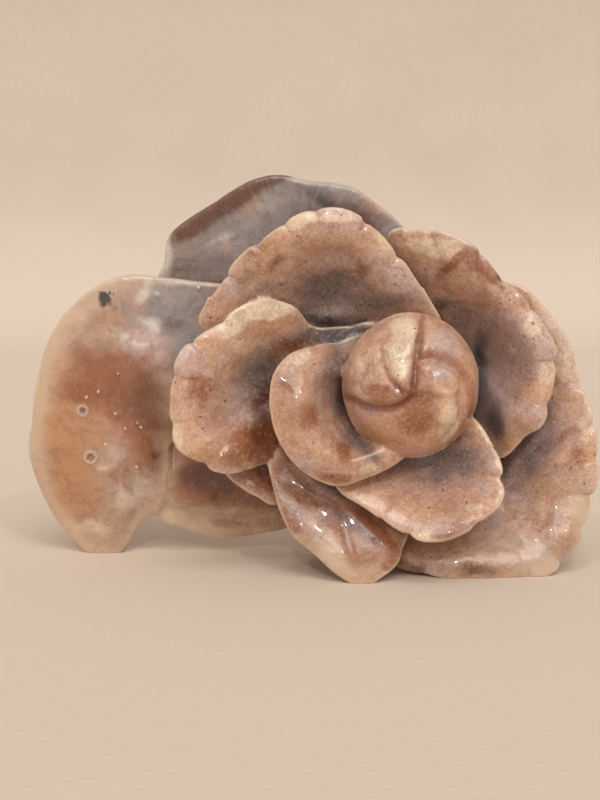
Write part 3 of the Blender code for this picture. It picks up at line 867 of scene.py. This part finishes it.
def hollows(mesh, points):
    """How far each vertex lies behind the average of its neighbours, in cells, positive in a groove and
    negative on a ridge: both the average and the result are spread over the neighbours a few times."""
    ends = np.empty(len(mesh.edges) * 2, np.int32)
    mesh.edges.foreach_get("vertices", ends)
    one, two = ends.reshape(-1, 2).T
    links = np.bincount(ends, minlength=len(points))

    def spread(values):
        for _ in range(GROOVE_ROUNDS):
            total = [
                np.bincount(one, column[two], len(points)) + np.bincount(two, column[one], len(points))
                for column in values.T
            ]
            values = np.stack(total, 1) / links[:, None]
        return values

    out = rows(mesh.vertex_normals, "vector")
    behind = np.sum((spread(points) - points) * out, 1, keepdims=True)
    return spread(behind)[:, 0] / CELL


fields["groove"] = hollows(mesh, place)
for name, values in fields.items():
    mesh.attributes.new(name, "FLOAT", "POINT").data.foreach_set("value", values.astype(np.float32))


# ---------------------------------------------------------------- polished agate
# The whole flower is polished by hand: a waxy body that light soaks into, under a thin hard gloss. Up close
# the stone shows clouds, grain and black specks, and the wheel's marks that run out from each hollow.
class Socket:
    """One end of a link in a material. Python's operators on it add Math nodes."""

    def __init__(self, tree, end=None):
        self.tree = tree
        self.end = end

    def node(self, kind, settings=None, inputs=None, output=0):
        """Add a node: its type, its settings, and the values or links of its inputs."""
        made = self.tree.nodes.new(kind)
        for key, value in (settings or {}).items():
            setattr(made, key, value)
        for key, value in (inputs or {}).items():
            if isinstance(value, Socket):
                self.tree.links.new(value.end, made.inputs[key])
            else:
                made.inputs[key].default_value = value
        return Socket(self.tree, made.outputs[output] if made.outputs else None)

    def math(self, operation, *values):
        return self.node("ShaderNodeMath", {"operation": operation}, dict(enumerate(values)))

    def __add__(self, other):
        return self.math("ADD", self, other)

    def __radd__(self, other):
        return self.math("ADD", other, self)

    def __sub__(self, other):
        return self.math("SUBTRACT", self, other)

    def __rsub__(self, other):
        return self.math("SUBTRACT", other, self)

    def __mul__(self, other):
        return self.math("MULTIPLY", self, other)

    def __rmul__(self, other):
        return self.math("MULTIPLY", other, self)

    def __abs__(self):
        return self.math("ABSOLUTE", self)

    def split(self):
        """The three channels of a colour."""
        parts = self.node("ShaderNodeSeparateColor", inputs={0: self}).end.node
        return [Socket(self.tree, end) for end in parts.outputs]

    def field(self, name):
        """An attribute of the mesh, as a number."""
        return self.node("ShaderNodeAttribute", {"attribute_name": name}, output="Fac")

    def noise(self, size, detail=4.0, roughness=0.55, seed=0.0, output=0):
        """Clouds of about this size in mm at this place; output 1 is three unlike clouds, as a colour."""
        moved = self.node("ShaderNodeVectorMath", {"operation": "ADD"}, {0: self, 1: (seed, seed, seed)})
        shape = {"Vector": moved, "Scale": 1 / (size * MM), "Detail": detail, "Roughness": roughness}
        return self.node("ShaderNodeTexNoise", None, shape, output)

    def step(self, low, high):
        """0 below low, 1 above high, and a smooth rise between them."""
        smooth = {"interpolation_type": "SMOOTHSTEP"}
        return self.node("ShaderNodeMapRange", smooth, {0: self, 1: low, 2: high})

    def mix(self, first, second):
        """The first colour where this is 0, the second where it is 1."""
        return self.node("ShaderNodeMix", {"data_type": "RGBA"}, {0: self, 6: first, 7: second}, 2)

    def shade(self, base, darker):
        """The base colour, multiplied by a darker tone where this is 1."""
        settings = {"data_type": "RGBA", "blend_type": "MULTIPLY"}
        return self.node("ShaderNodeMix", settings, {0: self, 6: base, 7: darker}, 2)


def new_material(name):
    """An empty material, and the Socket that its nodes start from."""
    made = bpy.data.materials.new(name)
    made.use_nodes = True
    made.node_tree.nodes.clear()
    return made, Socket(made.node_tree)


def tint(red, green, blue):
    """A colour given in display units of 0 to 255, as the linear one that a shader takes."""
    return (*(((v / 255 + 0.055) / 1.055) ** 2.4 for v in (red, green, blue)), 1)


PALETTE = {
    "body": tint(196, 153, 127),
    # grey-mauve of the stone's heart, laid deep in the cups, where it is partly painted shade
    "heart": tint(138, 122, 120),
    "lip": tint(208, 172, 146),
    "glass": tint(176, 146, 124),
    "pale": tint(208, 182, 156),
    "blue": tint(130, 126, 127),
    "amber": tint(184, 130, 88),
    "peach": tint(210, 166, 134),
    "rose": tint(186, 142, 124),
    "lilac": tint(194, 166, 158),
    "grey": tint(122, 106, 104),
    "ochre": tint(176, 132, 96),
    "cream": tint(224, 200, 172),
    "rust": tint(144, 84, 48),
    "white": tint(224, 214, 202),
    "brown": tint(98, 54, 33),
    # black specks, and painted shade where the dark spots lie in hollows
    "dark_and_painted_shade": tint(56, 50, 54),
}
FLECK = tint(40, 34, 28)
# tones that darken what is under them: in the stone's clouds and grain, painted shade in grooves, painted
# shade and partly a brown tone of their own in the bud's folds, and in the marks of the wheel
SHADES = {
    "cloud": tint(206, 190, 182),
    "grain": tint(200, 184, 178),
    "groove": tint(150, 118, 104),
    "crease": tint(196, 150, 128),
    "mark": tint(170, 156, 152),
}
# the clouds all over the stone: pigment, which of the six noises, where they start and are full, strength
MOTTLES = (
    ("peach", 1, 0.47, 0.59, 0.5),
    ("rose", 2, 0.49, 0.60, 0.4),
    ("ochre", 3, 0.51, 0.60, 0.3),
    ("lilac", 4, 0.51, 0.60, 0.4),
    ("cream", 5, 0.56, 0.63, 0.22),
)
# black specks: the size of the cells that hold one each in mm, the share of cells left empty, and the stain
# that they crowd in
SPECKS = ((1.3, 0.5, None), (0.6, 0.45, "rust"))
# flaws of the clear left leaf, as (x, z, radius) in mm: a black fleck in it, round pits whose pale rings are
# partly painted glints, and tiny blisters, each with a painted glint on its top
INCLUSIONS = ((-33.6, 45.2, 1.3), (-32.7, 46.1, 0.6))
PITS = ((-37.6, 26.0, 0.75), (-36.4, 17.8, 0.95))
BLISTERS_AND_GLINTS = (
    (-34.8, 29.3, 0.6), (-36.9, 28.3, 0.6), (-31.9, 25.5, 0.5), (-27.5, 23.1, 0.6), (-30.2, 22.9, 0.5),
    (-28.1, 23.9, 0.4), (-33.7, 20.1, 0.6), (-28.4, 16.1, 0.7), (-31.3, 32.4, 0.4), (-17.5, 47.2, 0.8),
)
# sizes in mm of what runs through the stone: the swirls that bend its clouds and how far, and the clouds
SWIRL, SWIRL_REACH = 9.0, 5.0
CLOUD = 5.0
FINE_CLOUD = 1.9
GRAIN = 0.45
RIM_GLOW = 5.0  # how far in from a clear rim the light shows through
# relief too fine for the mesh: its size across, then its height, in mm
WAVES, WAVE_HEIGHT = 2.6, 0.16
WHEEL_MARK, WHEEL_MARK_HEIGHT = 0.7, 0.04
PEBBLE, PEBBLE_HEIGHT = 2.3, 0.08
PIT_WALL, PIT_WALL_HEIGHT, PIT_DEPTH = 0.7, 0.2, 0.3
BLISTER_HEIGHT = 0.14
NOTCH_SCRATCH = 0.06
MARK_STRETCH = 10  # how many times longer than wide the marks of the wheel are
# how light soaks into the stone, and the thin hard gloss over it
WAX = {"Subsurface Weight": 0.18, "Subsurface Radius": (1.0, 0.8, 0.7), "Subsurface Scale": 1.5 * MM}
GLOSS = {"IOR": 1.54, "Coat Weight": 0.45, "Coat Roughness": 0.03}

agate, start = new_material("amethyst_agate")
where = start.node("ShaderNodeTexCoord", output="Object")
swirl = where.noise(SWIRL, 2.0, seed=3.0, output=1)
bend = {0: swirl, 1: (SWIRL_REACH * MM,) * 3, 2: where}
bent = start.node("ShaderNodeVectorMath", {"operation": "MULTIPLY_ADD"}, bend)
wide = bent.noise(CLOUD, 3.0, 0.5, 1.0, 1).split()
fine = bent.noise(FINE_CLOUD, 3.0, 0.55, 5.0, 1).split()
grain = where.noise(GRAIN, 2.0, 0.6, 9.0)

# the bands from the hollow to the rim, their grey towards the hollow partly painted shade, the clouds, the
# facets of the lobes, and the stains in their order
rim_gap = start.field("rim_gap")
depth = start.field("depth")
clear = (start.field("glass") + start.field("blue")).step(0.1, 0.8)
heart = (depth + (wide[0] - 0.5) * 0.5).step(0.25, 0.9)
colour = heart.mix(PALETTE["body"], PALETTE["heart"])
for pigment, channel, low, high, strength in MOTTLES:
    cloud = (wide + fine)[channel].step(low, high)
    colour = (cloud * (1 - heart * 0.5) * (1 - clear * 0.6) * strength).mix(colour, PALETTE[pigment])
lip = 1 - (rim_gap + (wide[1] - 0.5) * 4).step(0.2, 3.6)
colour = (lip * 0.4).mix(colour, PALETTE["lip"])
lobe = start.field("lobe")
facet = 1 - (rim_gap + (wide[2] - 0.5) * 3).step(3.0, 4.6)
colour = (facet * lobe.step(0.1, 0.7) * 0.55).mix(colour, PALETTE["lilac"])
colour = (facet * (0 - lobe).step(0.1, 0.7) * 0.5).mix(colour, PALETTE["peach"])
for k, (pigment, (cover, push, soft)) in enumerate(LAYERS.items()):
    cloud = wide[k % 3] * 0.6 + fine[(k + 1) % 3] * 0.4
    mask = start.field(pigment)
    mask = mask + (cloud - 0.5) * (1 - clear * 0.4) * push * mask.step(0.0, 0.25)
    mask = mask.step(0.45 - soft, 0.45 + soft)
    colour = (mask * cover).mix(colour, PALETTE[pigment])

# hair veins of iron, the cloudiness inside the stone, its fine grain, and black specks in groups
vein = (1 - abs(wide[0] - 0.5).step(0.0, 0.016)) * wide[2].step(0.46, 0.56) * (1 - clear)
colour = (vein * 0.3).mix(colour, PALETTE["rust"])
colour = (fine[2].step(0.54, 0.36) * 0.35).shade(colour, SHADES["cloud"])
colour = (grain.step(0.54, 0.36) * (1 - clear * 0.6) * 0.4).shade(colour, SHADES["grain"])
colour = (grain.step(0.56, 0.7) * (1 - clear * 0.6) * 0.2).mix(colour, PALETTE["white"])
specks = 0.0
for size, share, stained in SPECKS:
    dots = start.node("ShaderNodeTexVoronoi", inputs={"Vector": where, "Scale": 1 / (size * MM)})
    gap = dots + (grain - 0.5) * 0.25
    picked = Socket(start.tree, dots.end.node.outputs["Color"]).split()[0]
    crowd = start.field(stained).step(0.2, 0.8) if stained else wide[0].step(0.42, 0.54)
    specks = specks + (1 - gap.step(0.08, 0.2)) * picked.step(share, share + 0.02) * crowd
colour = (specks * 0.85 * (1 - clear * 0.6)).mix(colour, PALETTE["dark_and_painted_shade"])

# the clear leaves' thin rim is painted pale, as light showing through it, and every rim gets a thin painted
# highlight; grooves get painted shade, the bud's folds painted shade and partly a brown tone of their own,
# and ridges a pale painted highlight
glow = 1 - (rim_gap + (wide[1] - 0.5) * 4).step(RIM_GLOW * 0.2, RIM_GLOW)
colour = (glow * start.field("glass").step(0.2, 0.9) * 0.7).mix(colour, PALETTE["pale"])
edge = 1 - rim_gap.step(0.15, 0.7)
colour = (edge * (1 - start.field("brown").step(0.2, 0.6)) * 0.45).mix(colour, PALETTE["cream"])
groove = start.field("groove")
colour = (groove.step(0.06, 0.6) * 0.7).shade(colour, SHADES["groove"])
colour = (start.field("crease").step(0.3, 1.0) * 0.7).shade(colour, SHADES["crease"])
colour = ((0 - groove).step(0.08, 0.6) * 0.25).mix(colour, PALETTE["cream"])
# a faint rust tone in the notches near the rim, partly painted shade in their cuts
notch = 1 - abs(start.field("notch_gap")).step(0.04, 0.35)
notch = notch * (1 - rim_gap.step(0.8, 3.8))
colour = (notch * 0.12).mix(colour, PALETTE["rust"])


def distance(x, z):
    """How far this place is from a line that runs straight back at x and z, in mm."""
    flat = start.node("ShaderNodeVectorMath", {"operation": "MULTIPLY"}, {0: where, 1: (1 / MM, 0, 1 / MM)})
    centre = (x - FOOTPRINT_CENTRE[0], 0, z - FOOTPRINT_CENTRE[2])
    return start.node("ShaderNodeVectorMath", {"operation": "DISTANCE"}, {0: flat, 1: centre}, "Value")


for x, z, radius in INCLUSIONS:
    blot = 1 - (distance(x, z) + (fine[0] - 0.5) * 3).step(radius * 0.7, radius * 1.2)
    colour = (blot * 0.9).mix(colour, FLECK)

# the marks of the wheel are noise that is drawn out from the rim inwards, and show where the stone is grey
unrolled = {0: start.field("around") * MM, 1: rim_gap * (MM / MARK_STRETCH)}
spread = start.node("ShaderNodeCombineXYZ", inputs=unrolled)
marks = spread.noise(WHEEL_MARK, 3.0, 0.6, 2.0)
streaked = start.field("grey") + start.field("blue") * 0.7
streaked = streaked.step(0.2, 1.0) * wide[1].step(0.42, 0.6)
colour = (marks.step(0.52, 0.7) * streaked * 0.2).mix(colour, PALETTE["white"])
colour = (marks.step(0.5, 0.34) * streaked * 0.3).shade(colour, SHADES["mark"])

# the fine relief: hand-ground waves all over, low pebbles near the rims, and the clear leaf's flaws, with
# painted glints on its pits and blisters
pebbles = {"Vector": where, "Scale": 1 / (PEBBLE * MM)}
dome = 1 - start.node("ShaderNodeTexVoronoi", inputs=pebbles).step(0.0, 0.4)
height = where.noise(WAVES, 1.0, 0.4, 7.0) * WAVE_HEIGHT + marks * depth * WHEEL_MARK_HEIGHT
height = height - notch * NOTCH_SCRATCH
height = height + dome * (1 - rim_gap.step(2.0, 7.0)) * PEBBLE_HEIGHT
for x, z, radius in PITS:
    gap = distance(x, z) + (marks - 0.5) * 1.1
    ring = 1 - abs(gap - radius).step(0.0, PIT_WALL)
    height = height + ring * PIT_WALL_HEIGHT - (1 - gap.step(0.0, radius)) * PIT_DEPTH
    # the pale ring round a pit: partly a painted glint
    colour = (ring * 0.4).mix(colour, PALETTE["white"])
    colour = ((1 - gap.step(radius * 0.3, radius)) * 0.4).mix(colour, PALETTE["brown"])
for x, z, radius in BLISTERS_AND_GLINTS:
    gap = distance(x, z)
    height = height + (1 - gap.step(0.0, radius)) * BLISTER_HEIGHT
    # a white dot on each blister's top: a painted glint
    colour = ((1 - gap.step(radius * 0.15, radius * 0.6)) * 0.7).mix(colour, PALETTE["white"])
bump = start.node("ShaderNodeBump", inputs={"Strength": 1.0, "Distance": MM, "Height": height})
polished = {"Base Color": colour, "Roughness": 0.22 + fine[2] * 0.2, "Normal": bump, **WAX, **GLOSS}
surface = start.node("ShaderNodeBsdfPrincipled", inputs=polished)
start.node("ShaderNodeOutputMaterial", inputs={"Surface": surface})
mesh.materials.append(agate)

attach(flower, "root")
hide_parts("amethyst_flower")


# ---------------------------------------------------------------- floor
# The flower stands on a sheet of cream paper. It lies flat under the flower and curves up far behind it into
# a plain wall, which is a little darker. Sizes are in metres, and those of the paper's fibres in mm.
FLOOR_NEAR = -1.5
FLOOR_BEND = 0.42
BEND_RADIUS = 0.25
BEND_POINTS = 33
WALL_TOP = 1.2
FLOOR_HALF_WIDTH = 1.5
FLOOR_COLOUR = tint(220, 203, 186)
WALL_COLOUR = tint(186, 171, 156)
CLOUDED_COLOUR = tint(224, 206, 188)
FIBRE_COLOUR = tint(220, 204, 187)
PAPER_CLOUD = 60.0
FIBRE, FIBRE_HEIGHT = 1.6, 0.2

arc = np.linspace(-math.pi / 2, 0, BEND_POINTS)
profile = [(FLOOR_NEAR, 0.0)]
profile += [(FLOOR_BEND + BEND_RADIUS * math.cos(a), BEND_RADIUS * (1 + math.sin(a))) for a in arc]
profile += [(FLOOR_BEND + BEND_RADIUS, WALL_TOP)]
paper = bpy.data.meshes.new("paper_floor")
corners = [(side * FLOOR_HALF_WIDTH, y, z) for y, z in profile for side in (-1, 1)]
strips = [(2 * k, 2 * k + 1, 2 * k + 3, 2 * k + 2) for k in range(len(profile) - 1)]
paper.from_pydata(corners, [], strips)
paper.shade_smooth()
floor = bpy.data.objects.new("paper_floor", paper)
bpy.context.scene.collection.objects.link(floor)
cream_paper, start = new_material("cream_paper")
where = start.node("ShaderNodeTexCoord", output="Object")
fibre = where.noise(FIBRE, 5.0, 0.6)
tone = where.noise(PAPER_CLOUD, 3.0, 0.5, 4.0).step(0.3, 0.7)
height = start.node("ShaderNodeSeparateXYZ", inputs={0: where}, output=2)
colour = height.step(-0.02, 0.1).mix(FLOOR_COLOUR, WALL_COLOUR)
colour = (tone * 0.1).mix(colour, CLOUDED_COLOUR)
colour = (fibre.step(0.35, 0.65) * 0.1).mix(colour, FIBRE_COLOUR)
bump = start.node("ShaderNodeBump", inputs={"Strength": 0.5, "Distance": MM, "Height": fibre * FIBRE_HEIGHT})
matt = {"Base Color": colour, "Roughness": 0.85, "Normal": bump}
surface = start.node("ShaderNodeBsdfPrincipled", inputs=matt)
start.node("ShaderNodeOutputMaterial", inputs={"Surface": surface})
paper.materials.append(cream_paper)


# ---------------------------------------------------------------- light
# A broad soft lamp stands above and in front, a wide weak one low in front fills the shadows and leaves no
# shine, three small bare ones give the crisp glints on the polish, and a pale room lies all round.
# Each lamp: tilt from straight down and turn, in degrees, strength, width in degrees, seen in the polish
LAMPS = (
    ("broad_lamp", 38, 8, 1.2, 36, True),
    ("low_lamp", 84, 4, 0.35, 40, False),
    ("bare_lamp", 60, -6, 0.4, 2, True),
    ("second_bare_lamp", 54, 22, 0.3, 2, True),
    ("third_bare_lamp", 46, -24, 0.3, 2, True),
)
LAMP_COLOUR = (1.0, 0.97, 0.92)
ROOM_COLOUR = (1.0, 0.97, 0.94, 1)
ROOM_STRENGTH = 0.46

for name, tilt, turn, strength, size, glint in LAMPS:
    light = bpy.data.lights.new(name, "SUN")
    light.energy = strength
    light.angle = math.radians(size)
    light.color = LAMP_COLOUR
    lamp = bpy.data.objects.new(name, light)
    lamp.rotation_euler = (math.radians(tilt), 0, math.radians(turn))
    lamp.visible_glossy = glint
    bpy.context.scene.collection.objects.link(lamp)
room = bpy.data.worlds.new("pale_room")
room.use_nodes = True
glow = room.node_tree.nodes["Background"]
glow.inputs["Color"].default_value = ROOM_COLOUR
glow.inputs["Strength"].default_value = ROOM_STRENGTH
bpy.context.scene.world = room
bpy.context.scene.view_settings.view_transform = "Standard"
